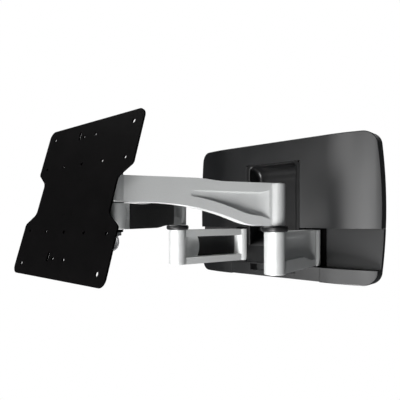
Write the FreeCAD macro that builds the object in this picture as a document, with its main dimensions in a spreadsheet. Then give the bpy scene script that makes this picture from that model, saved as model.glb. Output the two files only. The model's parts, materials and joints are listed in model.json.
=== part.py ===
import FreeCAD, Part
import math
import os

import Sketcher
from FreeCAD import Placement, Rotation, Vector

# Full motion wall mount for a flat screen. Lengths in millimetres, angles in degrees.
# X points right for a viewer who faces the wall, Y points into the wall, Z points up.
# The origin is the middle of the wall bolt pattern, on the wall's surface.
# Two lower links turn on the wall unit and carry two upper arms, which meet at one head pin.

DIMENSIONS = {
    # where the vertical axes stand at rest: wall pivots, elbows and head
    "pivot_half_spacing": 94.0,
    "pivot_depth": 37.0,
    "elbow_half_spacing": 122.5,
    "elbow_depth": 225.0,
    "head_depth": 476.6,
    # heights
    "arm_middle": 3.5,
    "knuckle_reach": 41.0,
    "knuckle_gap": 1.5,
    "elbow_reach": 37.0,
    "collar_height": 9.9,
    "link_top": -44.0,
    "link_height": 75.0,
    "face_gap": 0.3,
    # shared round sizes
    "barrel_radius": 18.6,
    "knuckle_radius": 17.5,
    "collar_radius": 24.0,
    "hinge_pin_radius": 5.0,
    "elbow_pin_radius": 6.0,
    "head_pin_radius": 6.0,
    "tilt_bolt_radius": 5.0,
    "running_gap": 0.05,
    "hinge_bush_radius": 7.5,
    "elbow_bush_radius": 9.0,
    "bush_length": 14.0,
    "open_knuckle_bore": 14.0,
    # lower link casting
    "link_half_width": 14.0,
    "link_web_outer": 9.0,
    "link_web_inner": 5.0,
    "link_scoop_radius": 84.0,
    "link_ramp_radius": 60.0,
    "link_upper_rib": 10.0,
    "link_lower_rib": 23.0,
    "link_bar": 15.0,
    "link_flare_start": 78.0,
    "link_flare_end": 34.0,
    "link_flare_drop": 9.0,
    "link_flare_radius": 110.0,
    "rim_round": 1.0,
    "link_cover_start": 20.0,
    "link_cover_end": 132.0,
    "link_cover_half_height": 22.0,
    "link_cover_end_radius": 48.0,
    "link_cover_thickness": 2.5,
    # upper arm casting
    "arm_half_width": 14.0,
    "arm_web_half": 9.5,
    "arm_web_start": 112.0,
    "arm_web_end": 205.0,
    "arm_recess_start": 118.0,
    "arm_recess_top": 20.6,
    "arm_cover_start": 20.0,
    "arm_cover_end": 215.0,
    "arm_cover_thickness": 2.0,
    "arm_scoop_radius": 93.0,
    "arm_shoulder_start": 120.0,
    "arm_shoulder_end": 184.0,
    "arm_bend_start": 50.0,
    "arm_bend_middle": 203.0,
    "arm_bend_end": 250.0,
    "nut_well_radius": 15.0,
    "nut_well_depth": 12.0,
    "nut_seat": 2.0,
    "nut_height": 6.0,
    "nut_radius": 11.0,
    "nut_washer_radius": 12.0,
    "elbow_pin_rise": 8.4,
    "cap_thickness": 2.5,
    # wall unit
    "cover_half_width": 236.6,
    "cover_half_height": 153.4,
    "cover_depth": 46.0,
    "cover_flat_half": 131.0,
    "cover_end_radius": 250.0,
    "cover_side_bow": 10.6,
    "cover_corner": 28.0,
    "cover_rim_radius": 2.0,
    "cover_wall": 2.5,
    "cover_lower_edge": -40.5,
    "channel_depth": 12.0,
    "lip_top": -122.6,
    "lip_split": 116.5,
    "liner_half_width": 70.0,
    "liner_top": 106.0,
    "liner_back": 4.0,
    "liner_proud": 0.6,
    "liner_corner": 8.0,
    "liner_wall": 3.0,
    "cable_mouth_top": -125.5,
    "cable_mouth_depth": 28.0,
    "mouth_rail_height": 12.0,
    "mouth_rail_depth": 5.0,
    "centre_cap_bottom": -152.0,
    "recess_half_width": 60.0,
    "recess_top": 101.0,
    "recess_bottom": -83.0,
    "recess_floor_end": -47.0,
    "recess_depth": 40.0,
    "recess_arc": 33.0,
    "recess_rim_radius": 4.0,
    "recess_corner": 9.0,
    "plate_half_width": 222.0,
    "plate_half_height": 142.0,
    "plate_corner": 20.0,
    "plate_thickness": 3.0,
    "side_window_start": 130.0,
    "side_window_end": 180.0,
    "side_window_top": 80.0,
    "centre_window_half": 45.0,
    "centre_window_bottom": -70.0,
    "centre_window_top": 90.0,
    "window_corner": 10.0,
    "wall_bolt_half_spacing": 203.2,
    "wall_bolt_half_rise": 110.0,
    "wall_hole_radius": 4.5,
    "wall_slot_length": 24.0,
    "upper_centre_hole": 130.0,
    "lower_centre_hole": -110.0,
    "bracket_thickness": 4.0,
    "bracket_half_width": 18.0,
    "bracket_shoulder": 4.0,
    "bracket_screw_half_rise": 22.0,
    "screw_radius": 2.5,
    "screw_head_radius": 4.8,
    "screw_head_height": 3.0,
    "ear_thickness": 3.0,
    "ear_radius": 11.0,
    # head
    "tilt_forward": 61.4,
    "tilt_drop": 55.5,
    "tilt_angle": 16.2,
    "pan_web_forward": 30.0,
    "pan_web_half_width": 27.0,
    "pan_ear_radius": 12.0,
    "pan_sheet": 4.0,
    "pan_corner": 6.0,
    "head_cap_radius": 8.5,
    "head_cap_height": 3.0,
    "head_nut_radius": 9.5,
    "head_nut_height": 5.0,
    "head_washer_radius": 13.0,
    "lug_radius": 13.0,
    "tilt_ear_half_span": 22.0,
    "tilt_sheet": 3.0,
    "tilt_lug_radius": 12.0,
    "tilt_web_bottom": -16.0,
    "tilt_web_top": 118.0,
    "tilt_web_corner": 5.0,
    "tilt_ear_bottom": -14.0,
    "tilt_ear_top": 100.0,
    "tilt_washer_radius": 11.0,
    "knob_washer_radius": 9.0,
    "knob_washer_thickness": 2.0,
    "tilt_nut_radius": 9.2,
    "tilt_nut_height": 7.0,
    "rivet_half_spacing": 12.0,
    "lower_rivet": 30.0,
    "upper_rivet": 80.0,
    "rivet_radius": 2.5,
    "rivet_head_radius": 4.0,
    "rivet_head_height": 1.2,
    "washer_thickness": 0.8,
    "knob_radius": 12.5,
    "knob_length": 13.0,
    "knob_offset": 65.0,
    "knob_neck_radius": 8.0,
    "screen_plate_forward": 26.7,
    "screen_plate_thickness": 2.5,
    "screen_plate_rise": 55.25,
    "screen_half_width": 119.3,
    "screen_half_height": 116.0,
    "screen_waist_half": 94.0,
    "screen_waist_rise": 24.0,
    "screen_step_rise": 43.0,
    "screen_corner": 12.0,
    "screen_outer_hole": 100.0,
    "screen_inner_hole": 50.0,
    "screen_hole_radius": 3.3,
    "screen_small_hole_radius": 2.7,
}

doc = FreeCAD.newDocument("wall_mount")
PLANES = {"XY": "XY_Plane", "XZ": "XZ_Plane", "YZ": "YZ_Plane"}


class Size:
    """A length that carries its value and the sheet expression that gives it."""

    def __init__(self, value, text):
        self.value = value
        self.text = text

    def __add__(self, other):
        other = as_size(other)
        return Size(self.value + other.value, f"({self.text} + {other.text})")

    def __sub__(self, other):
        other = as_size(other)
        return Size(self.value - other.value, f"({self.text} - {other.text})")

    def __mul__(self, other):
        other = as_size(other)
        return Size(self.value * other.value, f"({self.text} * {other.text})")

    def __truediv__(self, other):
        other = as_size(other)
        return Size(self.value / other.value, f"({self.text} / {other.text})")

    def __neg__(self):
        return Size(-self.value, f"(0 - {self.text})")

    __radd__ = __add__
    __rmul__ = __mul__

    def __rsub__(self, other):
        return as_size(other) - self


def as_size(number):
    if isinstance(number, Size):
        return number
    return Size(float(number), f"({float(number)!r})")


def root(size):
    return Size(math.sqrt(size.value), f"sqrt({size.text})")


def hypot(first, second):
    return root(first * first + second * second)


def make_sheet():
    """Writes the driving dimensions and returns them as sizes, by name."""
    sheet = doc.addObject("Spreadsheet::Sheet", "dims")
    for row, (name, value) in enumerate(DIMENSIONS.items(), start=1):
        sheet.set(f"A{row}", name)
        sheet.set(f"B{row}", str(value))
        sheet.setAlias(f"B{row}", name)
    doc.recompute()
    return {name: Size(value, f"dims.{name}") for name, value in DIMENSIONS.items()}


dim = make_sheet()


def bind(obj, prop, size):
    obj.setExpression(prop, as_size(size).text)


def place(obj, x, y, z):
    """Binds an object's position to sheet expressions."""
    for letter, size in zip("xyz", (x, y, z)):
        bind(obj, f"Placement.Base.{letter}", size)


def new_body(label):
    body = doc.addObject("PartDesign::Body", label)
    body.Label = label
    return body


def new_sketch(body, plane, offset=0):
    """A sketch on one of the body's own origin planes, moved along that plane's normal."""
    sketch = body.newObject("Sketcher::SketchObject", f"{body.Name}_sketch")
    origin = [item for item in body.Origin.OriginFeatures if item.Role == PLANES[plane]]
    sketch.AttachmentSupport = [(origin[0], "")]
    sketch.MapMode = "FlatFace"
    bind(sketch, "AttachmentOffset.Base.z", offset)
    return sketch


def tie(sketch, geometry, point, x, y):
    """Holds one end or centre of a sketch element at a bound position."""
    for kind, size in (("DistanceX", as_size(x)), ("DistanceY", as_size(y))):
        index = sketch.addConstraint(Sketcher.Constraint(kind, -1, 1, geometry, point, size.value))
        sketch.setExpression(f"Constraints[{index}]", size.text)


def tie_radius(sketch, geometry, size):
    size = as_size(size)
    index = sketch.addConstraint(Sketcher.Constraint("Radius", geometry, size.value))
    sketch.setExpression(f"Constraints[{index}]", size.text)


def add_circle(sketch, x, y, radius):
    centre = Vector(as_size(x).value, as_size(y).value, 0)
    circle = Part.Circle(centre, Vector(0, 0, 1), as_size(radius).value)
    geometry = sketch.addGeometry(circle)
    tie(sketch, geometry, 3, x, y)
    tie_radius(sketch, geometry, radius)


def arc_between(start, end, radius, bulge):
    """The short arc from start to end; bulge +1 curves to the left of the way, -1 to the right."""
    chord = end - start
    half = chord.Length / 2
    left = Vector(-chord.y, chord.x, 0).normalize()
    centre = start + chord * 0.5 - left * bulge * math.sqrt(radius * radius - half * half)
    first, last = (end, start) if bulge > 0 else (start, end)
    angles = [math.atan2(point.y - centre.y, point.x - centre.x) for point in (first, last)]
    circle = Part.Circle(centre, Vector(0, 0, 1), radius)
    return Part.ArcOfCircle(circle, angles[0], angles[1]), bulge > 0


def add_outline(sketch, points):
    """A closed outline. A point is (x, y), or (x, y, radius, bulge) where an arc leaves it."""
    ends = []
    for index, point in enumerate(points):
        following = points[(index + 1) % len(points)]
        start = Vector(as_size(point[0]).value, as_size(point[1]).value, 0)
        end = Vector(as_size(following[0]).value, as_size(following[1]).value, 0)
        if len(point) == 2:
            geometry = sketch.addGeometry(Part.LineSegment(start, end))
            ends.append((geometry, 1, 2))
            continue
        arc, swapped = arc_between(start, end, as_size(point[2]).value, point[3])
        geometry = sketch.addGeometry(arc)
        ends.append((geometry, 2, 1) if swapped else (geometry, 1, 2))
    for index, (geometry, _, last) in enumerate(ends):
        following, first, _ = ends[(index + 1) % len(ends)]
        sketch.addConstraint(Sketcher.Constraint("Coincident", geometry, last, following, first))
    for (geometry, first, _), point in zip(ends, points):
        tie(sketch, geometry, first, point[0], point[1])
        if len(point) == 4:
            tie_radius(sketch, geometry, point[2])


def rectangle(x_low, x_high, y_low, y_high):
    return [(x_low, y_low), (x_high, y_low), (x_high, y_high), (x_low, y_high)]


def rounded_rectangle(x_low, x_high, y_low, y_high, radius):
    return [
        (x_low + radius, y_low), (x_high - radius, y_low, radius, -1),
        (x_high, y_low + radius), (x_high, y_high - radius, radius, -1),
        (x_high - radius, y_high), (x_low + radius, y_high, radius, -1),
        (x_low, y_high - radius), (x_low, y_low + radius, radius, -1),
    ]


def slot(x_middle, y_middle, half_run, radius, upright=False):
    """A slot outline whose ends are half circles, each drawn as two quarter arcs."""
    corners = [(-half_run, -1, 0), (half_run, -1, 1), (half_run, 0, 2), (half_run, 1, 0),
               (-half_run, 1, 1), (-half_run, 0, 2)]
    points = []
    for along, side, turn in corners:
        reach = along if turn < 2 else along + (radius if along.value > 0 else -radius)
        across = radius * side
        point = (x_middle - across, y_middle + reach) if upright else (x_middle + reach, y_middle + across)
        points.append(point if turn == 0 else point + (radius, -1))
    return points


def pad(body, sketch, length, symmetric=False, backwards=False):
    feature = body.newObject("PartDesign::Pad", f"{body.Name}_pad")
    feature.Profile = sketch
    bind(feature, "Length", length)
    feature.SideType = "Symmetric" if symmetric else "One side"
    feature.Reversed = backwards
    return feature


def pocket_through(body, sketch):
    """Cuts the sketch through the whole body, both ways from its plane."""
    feature = body.newObject("PartDesign::Pocket", f"{body.Name}_cut")
    feature.Profile = sketch
    feature.Type = "ThroughAll"
    feature.SideType = "Symmetric"
    return feature


def pocket(body, sketch, length, backwards=False):
    feature = body.newObject("PartDesign::Pocket", f"{body.Name}_pocket")
    feature.Profile = sketch
    bind(feature, "Length", length)
    feature.Reversed = backwards
    return feature


def fillet(body, base, radius, chosen):
    """Rounds the edges of the last feature that the test function picks."""
    doc.recompute()
    names = [f"Edge{number}" for number, edge in enumerate(base.Shape.Edges, start=1) if chosen(edge)]
    feature = body.newObject("PartDesign::Fillet", f"{body.Name}_round")
    feature.Base = (base, names)
    bind(feature, "Radius", radius)
    return feature


def cylinder(label, radius, x, y, low, high):
    """An upright cylinder between two heights."""
    solid = doc.addObject("Part::Cylinder", label)
    solid.Label = label
    bind(solid, "Radius", radius)
    bind(solid, "Height", as_size(high) - low)
    place(solid, x, y, low)
    return solid


def cut(label, base, tool):
    result = doc.addObject("Part::Cut", label)
    result.Label = label
    result.Base = base
    result.Tool = tool
    return result


def fuse(label, shapes):
    result = doc.addObject("Part::MultiFuse", label)
    result.Label = label
    result.Shapes = shapes
    return result


def group(label, shapes):
    result = doc.addObject("Part::Compound", label)
    result.Label = label
    result.Links = shapes
    return result


def ring(label, outer, inner, x, y, low, high):
    """An upright sleeve or washer."""
    wall = cylinder(f"{label}_wall", outer, x, y, low, high)
    hole = cylinder(f"{label}_hole", inner, x, y, low, high)
    return cut(label, wall, hole)


def hexagon(label, radius, x, y, low, high):
    prism = doc.addObject("Part::Prism", label)
    prism.Label = label
    prism.Polygon = 6
    bind(prism, "Circumradius", radius)
    bind(prism, "Height", as_size(high) - low)
    place(prism, x, y, low)
    return prism


# ---- frames of the moving groups -------------------------------------------------------------

link_spread = dim["elbow_half_spacing"] - dim["pivot_half_spacing"]
link_reach = hypot(link_spread, dim["elbow_depth"] - dim["pivot_depth"])
arm_reach = hypot(dim["elbow_half_spacing"], dim["head_depth"] - dim["elbow_depth"])
link_bottom = dim["link_top"] - dim["link_height"]
link_middle = dim["link_top"] - dim["link_height"] / 2
elbow_top = dim["arm_middle"] + dim["elbow_reach"]
elbow_bottom = dim["arm_middle"] - dim["elbow_reach"]
tilt_y = -(dim["head_depth"] + dim["tilt_forward"])
tilt_z = dim["arm_middle"] - dim["tilt_drop"]


def side_placement(start, end, height, side):
    """Local X runs from start to end. The left copy is the right one turned over about Y."""
    heading = math.degrees(math.atan2(end[1] - start[1], end[0] - start[0]))
    right = Placement(Vector(start[0], start[1], height), Rotation(Vector(0, 0, 1), heading))
    if side > 0:
        return right
    turned_over = Placement(Vector(0, 0, 2 * height), Rotation(Vector(0, 1, 0), 180))
    return turned_over.multiply(right)


PIVOT = (dim["pivot_half_spacing"].value, -dim["pivot_depth"].value)
ELBOW = (dim["elbow_half_spacing"].value, -dim["elbow_depth"].value)
HEAD = (0.0, -dim["head_depth"].value)
SIDES = {"right": 1, "left": -1}
TILTED = Placement(
    Vector(0, tilt_y.value, tilt_z.value), Rotation(Vector(1, 0, 0), -dim["tilt_angle"].value)
)


def scoop(barrel, floor, radius):
    """Where a concave arc of the given radius leaves the floor and meets the barrel, from its axis."""
    run = root((barrel + radius) * (barrel + radius) - (floor + radius) * (floor + radius))
    share = barrel / (barrel + radius)
    return run, run * share, (floor + radius) * share


# ---- lower links -----------------------------------------------------------------------------


def lower_link(side_name, side):
    """One casting: two barrels, a web, ribs on the outer face and a cable hollow on the inner face."""
    body = new_body(f"lower_link_{side_name}")
    half = dim["link_height"] / 2
    width = dim["link_half_width"]
    run, touch_x, touch_y = scoop(dim["barrel_radius"], dim["link_web_outer"], dim["link_scoop_radius"])
    ramp_run, ramp_x, ramp_y = scoop(dim["barrel_radius"], -dim["link_web_inner"], dim["link_ramp_radius"])

    web = new_sketch(body, "XY")
    add_outline(web, [
        (0, dim["link_web_inner"]),
        (link_reach - ramp_run, dim["link_web_inner"], dim["link_ramp_radius"], 1),
        (link_reach - ramp_x, -ramp_y), (link_reach, -ramp_y),
        (link_reach, dim["link_web_outer"]),
        (run, dim["link_web_outer"], dim["link_scoop_radius"], 1),
        (touch_x, touch_y), (0, touch_y),
    ])
    pad(body, web, dim["link_height"], symmetric=True)

    upper_line = half - dim["link_upper_rib"]
    lower_line = -half + dim["link_lower_rib"]
    flare_start, flare_end = dim["link_flare_start"], dim["link_flare_end"]
    flare_low, flare_radius = lower_line - dim["link_flare_drop"], dim["link_flare_radius"]
    flare_high = upper_line + dim["link_flare_drop"]
    ribs = new_sketch(body, "XZ", -dim["link_web_inner"])
    add_outline(ribs, [
        (0, half), (0, flare_high), (flare_end, flare_high, flare_radius, 1),
        (flare_start, upper_line), (link_reach, upper_line), (link_reach, half),
    ])
    add_outline(ribs, [
        (0, -half), (link_reach, -half), (link_reach, lower_line),
        (flare_start, lower_line, flare_radius, 1), (flare_end, flare_low), (0, flare_low),
    ])
    pad(body, ribs, width - dim["link_web_inner"], backwards=True)

    bars = new_sketch(body, "XZ", -dim["link_web_inner"])
    add_outline(bars, rectangle(0, link_reach, half - dim["link_bar"], half))
    add_outline(bars, rectangle(0, link_reach, -half, -half + dim["link_bar"]))
    pad(body, bars, width + dim["link_web_inner"])

    barrels = new_sketch(body, "XY")
    add_circle(barrels, 0, 0, dim["barrel_radius"])
    add_circle(barrels, link_reach, 0, dim["barrel_radius"])
    barrel_pad = pad(body, barrels, dim["link_height"], symmetric=True)

    barrel_radius = dim["barrel_radius"].value
    fillet(body, barrel_pad, dim["rim_round"], lambda edge: is_rim(edge, barrel_radius))

    bores = new_sketch(body, "XY")
    add_circle(bores, 0, 0, dim["hinge_bush_radius"])
    add_circle(bores, link_reach, 0, dim["elbow_pin_radius"])
    pocket_through(body, bores)
    body.Placement = side_placement(PIVOT, ELBOW, link_middle.value, side)
    return body


def is_rim(edge, radius):
    """True for a circular edge of this radius that lies in a level plane."""
    curve = edge.Curve
    if not isinstance(curve, Part.Circle):
        return False
    return abs(curve.Radius - radius) < 1e-4 and abs(abs(curve.Axis.z) - 1) < 1e-6


def link_parts(side_name, side):
    """The pieces that ride on a lower link: bushes, elbow pin, collar, washer and nut."""
    hinge_x = dim["pivot_half_spacing"] * side
    hinge_y = -dim["pivot_depth"]
    x = dim["elbow_half_spacing"] * side
    y = -dim["elbow_depth"]
    bush = dim["hinge_bush_radius"]
    bore = dim["hinge_pin_radius"] + dim["running_gap"]
    length = dim["bush_length"]
    link_top = dim["link_top"]
    bushes = [
        ring(f"hinge_bush_{side_name}_top", bush, bore, hinge_x, hinge_y, link_top - length, link_top),
        ring(f"hinge_bush_{side_name}_low", bush, bore, hinge_x, hinge_y, link_bottom, link_bottom + length),
    ]
    well_floor = elbow_top - dim["nut_well_depth"]
    pin_radius = dim["elbow_pin_radius"]
    pin_low = link_bottom + dim["link_bar"]
    pin = cylinder(f"elbow_pin_{side_name}", pin_radius, x, y, pin_low, well_floor + dim["elbow_pin_rise"])
    collar = elbow_collar(side_name, x, y, link_top + dim["collar_height"])
    seat = well_floor + dim["nut_seat"]
    crown = seat + dim["nut_height"]
    washer_radius = dim["nut_washer_radius"]
    washer_low = well_floor + dim["face_gap"]
    washer = ring(f"elbow_washer_{side_name}", washer_radius, pin_radius, x, y, washer_low, seat)
    blank = hexagon(f"elbow_nut_blank_{side_name}", dim["nut_radius"], x, y, seat, crown)
    hole = cylinder(f"elbow_nut_hole_{side_name}", pin_radius, x, y, seat, crown)
    nut = cut(f"elbow_nut_solid_{side_name}", blank, hole)
    return [
        group(f"hinge_bushes_{side_name}", bushes),
        pin,
        collar,
        group(f"elbow_nut_{side_name}", [washer, nut]),
    ]


def link_cover(side_name, side):
    """Black cable cover on the floor of the link's inner hollow; its elbow end is hollowed out."""
    body = new_body(f"link_cover_{side_name}")
    start, end = dim["link_cover_start"], dim["link_cover_end"]
    half = dim["link_cover_half_height"]
    outline = new_sketch(body, "XZ", -dim["link_web_inner"])
    add_outline(outline, [
        (start, -half), (end, -half, dim["link_cover_end_radius"], 1), (end, half), (start, half),
    ])
    pad(body, outline, dim["link_cover_thickness"])
    body.Placement = side_placement(PIVOT, ELBOW, link_middle.value, side)
    return body


def elbow_collar(side_name, x, y, top):
    """A black ring with a rounded rim between the post and the upper arm."""
    body = new_body(f"elbow_collar_{side_name}")
    outline = new_sketch(body, "XZ")
    inner = dim["elbow_pin_radius"]
    outer = dim["collar_radius"]
    height = dim["collar_height"]
    chamfer, lean, rise = 2.5, 0.5, 2
    add_outline(outline, [
        (inner, 0), (outer - chamfer, 0), (outer - lean, rise), (outer, height / 2),
        (outer - lean, height - rise), (outer - chamfer, height), (inner, height),
    ])
    turned = body.newObject("PartDesign::Revolution", f"{body.Name}_turned")
    turned.Profile = outline
    turned.ReferenceAxis = (outline, ["V_Axis"])
    turned.Angle = 360
    place(body, x, y, top - height)
    return body


# ---- upper arms ------------------------------------------------------------------------------


def arm_silhouette():
    """Side view of the arm: a thin knuckle end above the middle, a full height elbow end below it."""
    top = dim["knuckle_reach"]
    shoulder = dim["elbow_reach"]
    low = dim["knuckle_gap"] / 2
    start, middle, end = dim["arm_bend_start"], dim["arm_bend_middle"], dim["arm_bend_end"]
    drop = low + shoulder
    first_run, second_run = middle - start, end - middle
    first_drop = drop * first_run / (end - start)
    second_drop = drop * second_run / (end - start)
    first_radius = (first_run * first_run + first_drop * first_drop) / (first_drop * 2)
    second_radius = (second_run * second_run + second_drop * second_drop) / (second_drop * 2)
    step_start, step_end = dim["arm_shoulder_start"], dim["arm_shoulder_end"]
    step_run = (step_end - step_start) / 2
    step_drop = (top - shoulder) / 2
    step_radius = (step_run * step_run + step_drop * step_drop) / (step_drop * 2)
    return [
        (0, low), (start, low, first_radius, 1), (middle, low - first_drop, second_radius, -1),
        (end, -shoulder), (arm_reach, -shoulder), (arm_reach, shoulder),
        (step_end, shoulder, step_radius, 1), (step_start + step_run, shoulder + step_drop, step_radius, -1),
        (step_start, top), (0, top),
    ]


def arm_recess():
    """The shallow recess in each face, which opens towards the elbow."""
    start, top = dim["arm_recess_start"], dim["arm_recess_top"]
    nose_low, nose_round = 13.5, 9
    rib_start, rib_radius = 11.8, 400
    rib_middle, rib_end_radius = -10.6, 125
    flare_x, flare_low = 244, -19.6
    flare_top_x, flare_high, flare_radius = 250, 21.8, 90
    mouth_x, mouth_half = arm_reach - 8, 28
    top_end = 228
    return [
        (start, nose_low), (start + 1, rib_start, rib_radius, 1),
        (dim["arm_bend_middle"], rib_middle, rib_end_radius, -1), (flare_x, flare_low),
        (mouth_x, -mouth_half), (mouth_x, mouth_half), (flare_top_x, flare_high, flare_radius, 1),
        (top_end, top), (start + 6, top, nose_round, -1),
    ]


def upper_arm(side_name, side):
    """One casting used on both sides; the left arm is turned over and its nut well is on the other end."""
    body = new_body(f"upper_arm_{side_name}")
    barrel = dim["barrel_radius"]
    web_half = dim["arm_web_half"]
    radius = dim["arm_scoop_radius"]
    run, touch_x, touch_y = scoop(barrel, web_half, radius)
    reach_up = dim["knuckle_reach"]
    reach_down = dim["elbow_reach"]
    recess_step = 0.3
    full = dim["arm_half_width"] - recess_step
    slope_start, slope_end = dim["arm_web_start"], dim["arm_web_end"]

    web = new_sketch(body, "XY", -reach_down)
    add_outline(web, [
        (0, -full), (slope_start, -full), (slope_end, -web_half), (arm_reach - run, -web_half, radius, 1),
        (arm_reach - touch_x, -touch_y), (arm_reach, -touch_y),
        (arm_reach, touch_y), (arm_reach - touch_x, touch_y, radius, 1),
        (arm_reach - run, web_half), (slope_end, web_half), (slope_start, full), (0, full),
    ])
    pad(body, web, reach_down + reach_up)

    outside = new_sketch(body, "XZ")
    margin = 30
    frame_low, frame_high = -reach_down - margin, reach_up + margin
    add_outline(outside, rectangle(-margin, arm_reach + margin, frame_low, frame_high))
    add_outline(outside, arm_silhouette())
    pocket_through(body, outside)

    rails = new_sketch(body, "XZ")
    add_outline(rails, arm_silhouette())
    add_outline(rails, arm_recess())
    pad(body, rails, dim["arm_half_width"] * 2, symmetric=True)

    elbow = new_sketch(body, "XY")
    add_circle(elbow, arm_reach, 0, barrel)
    pad(body, elbow, reach_down * 2, symmetric=True)
    knuckle = new_sketch(body, "XY", dim["knuckle_gap"] / 2)
    add_circle(knuckle, 0, 0, dim["knuckle_radius"])
    knuckle_pad = pad(body, knuckle, reach_up - dim["knuckle_gap"] / 2)

    radii = (barrel.value, dim["knuckle_radius"].value)
    fillet(body, knuckle_pad, dim["rim_round"], lambda edge: any(is_rim(edge, size) for size in radii))

    bores = new_sketch(body, "XY")
    add_circle(bores, 0, 0, dim["elbow_bush_radius"] if side > 0 else dim["open_knuckle_bore"])
    add_circle(bores, arm_reach, 0, dim["elbow_bush_radius"])
    pocket_through(body, bores)
    well = new_sketch(body, "XY", reach_down * side)
    add_circle(well, arm_reach, 0, dim["nut_well_radius"])
    pocket(body, well, dim["nut_well_depth"], backwards=side < 0)
    body.Placement = side_placement(HEAD, ELBOW, dim["arm_middle"].value, side)
    return body


def arm_parts(side_name, side):
    """The pieces that ride on an upper arm: elbow bushes and the cap over the nut."""
    x = dim["elbow_half_spacing"] * side
    y = -dim["elbow_depth"]
    outer = dim["elbow_bush_radius"]
    bore = dim["elbow_pin_radius"] + dim["running_gap"]
    length = dim["bush_length"]
    well_floor = elbow_top - dim["nut_well_depth"]
    bushes = [
        ring(f"elbow_bush_{side_name}_low", outer, bore, x, y, elbow_bottom, elbow_bottom + length),
        ring(f"elbow_bush_{side_name}_top", outer, bore, x, y, well_floor - length, well_floor),
    ]
    cap_low = elbow_top - dim["cap_thickness"]
    cap = cylinder(f"arm_cap_{side_name}", dim["nut_well_radius"], x, y, cap_low, elbow_top)
    return [group(f"elbow_bushes_{side_name}", bushes), cap]


def arm_cover(side_name, side):
    """Black cable cover over the arm's inner face, from the knuckle to the elbow scoop."""
    body = new_body(f"arm_cover_{side_name}")
    plate = new_sketch(body, "XZ", -dim["arm_half_width"])
    add_outline(plate, arm_silhouette())
    pad(body, plate, dim["arm_cover_thickness"], backwards=True)
    margin = 30
    tall = dim["knuckle_reach"] + margin
    ends = new_sketch(body, "XZ")
    add_outline(ends, rectangle(-margin, dim["arm_cover_start"], -tall, tall))
    add_outline(ends, rectangle(dim["arm_cover_end"], arm_reach + margin, -tall, tall))
    pocket_through(body, ends)
    body.Placement = side_placement(HEAD, ELBOW, dim["arm_middle"].value, side)
    return body


# ---- wall unit -------------------------------------------------------------------------------


def cover_blank(label, inset):
    """The block that all cover shells are cut from: bowed front, bowed sides, rounded corners."""
    body = new_body(label)
    half = dim["cover_half_width"] - inset
    tall = dim["cover_half_height"] - inset
    depth = dim["cover_depth"]
    bow = dim["cover_side_bow"]
    radius = (dim["cover_half_height"] * dim["cover_half_height"] + bow * bow) / (bow * 2)
    corner_x = half - radius + root(radius * radius - tall * tall)
    front = new_sketch(body, "XZ")
    add_outline(front, [
        (-corner_x, -tall), (corner_x, -tall, radius, -1), (corner_x, tall), (-corner_x, tall, radius, -1),
    ])
    spare = 10
    block = pad(body, front, depth + spare)
    fillet(body, block, dim["cover_corner"] - inset, is_depth_edge)

    face = -(depth - inset)
    end_radius = dim["cover_end_radius"]
    flat = dim["cover_flat_half"]
    beyond = dim["cover_half_width"] + spare / 2
    end_run = beyond - flat
    end_y = face + end_radius - root(end_radius * end_radius - end_run * end_run)
    far = -(depth + spare * 2)
    trim = new_sketch(body, "XY")
    add_outline(trim, [
        (-flat, face), (flat, face, end_radius, -1), (beyond, end_y), (beyond, far), (-beyond, far),
        (-beyond, end_y, end_radius, -1),
    ])
    trimmed = pocket_through(body, trim)
    if inset == 0:
        fillet(body, trimmed, dim["cover_rim_radius"], is_front_rim)
    return body


def is_depth_edge(edge):
    """True for a straight edge that runs along Y."""
    bounds = edge.BoundBox
    return bounds.XLength < 1e-3 and bounds.ZLength < 1e-3


def is_front_rim(edge):
    """True for edges of the cover's bowed front, apart from its two inner vertical seams."""
    bounds = edge.BoundBox
    depth = DIMENSIONS["cover_depth"]
    nearest_to_wall = -15
    if bounds.YMax > nearest_to_wall or bounds.YMin < -depth - 1e-3:
        return False
    inner_seam = bounds.XLength < 0.1 and abs(bounds.XMax) < DIMENSIONS["cover_flat_half"] + 1
    return not inner_seam


def box(label, x_low, x_high, y_low, y_high, z_low, z_high):
    solid = doc.addObject("Part::Box", label)
    solid.Label = label
    bind(solid, "Length", as_size(x_high) - x_low)
    bind(solid, "Width", as_size(y_high) - y_low)
    bind(solid, "Height", as_size(z_high) - z_low)
    place(solid, x_low, y_low, z_low)
    return solid


def common(label, first, second):
    result = doc.addObject("Part::MultiCommon", label)
    result.Label = label
    result.Shapes = [first, second]
    return result


def mirror_x(label, source):
    result = doc.addObject("Part::Mirroring", label)
    result.Label = label
    result.Source = source
    result.Normal = Vector(1, 0, 0)
    return result


def plate_room():
    """The space at the back of the cover's inner walls that the wall plate fills."""
    gap = dim["face_gap"]
    half, tall = dim["plate_half_width"] + gap, dim["plate_half_height"] + gap
    body = new_body("plate_room")
    outline = new_sketch(body, "XZ", -1)
    add_outline(outline, rounded_rectangle(-half, half, -tall, tall, dim["plate_corner"] + gap))
    pad(body, outline, dim["plate_thickness"] + gap + 1)
    return body


def zone(label, source, *limits):
    """The part of a source solid that lies inside a box."""
    return common(label, source, box(f"{label}_zone", *limits))


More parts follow.
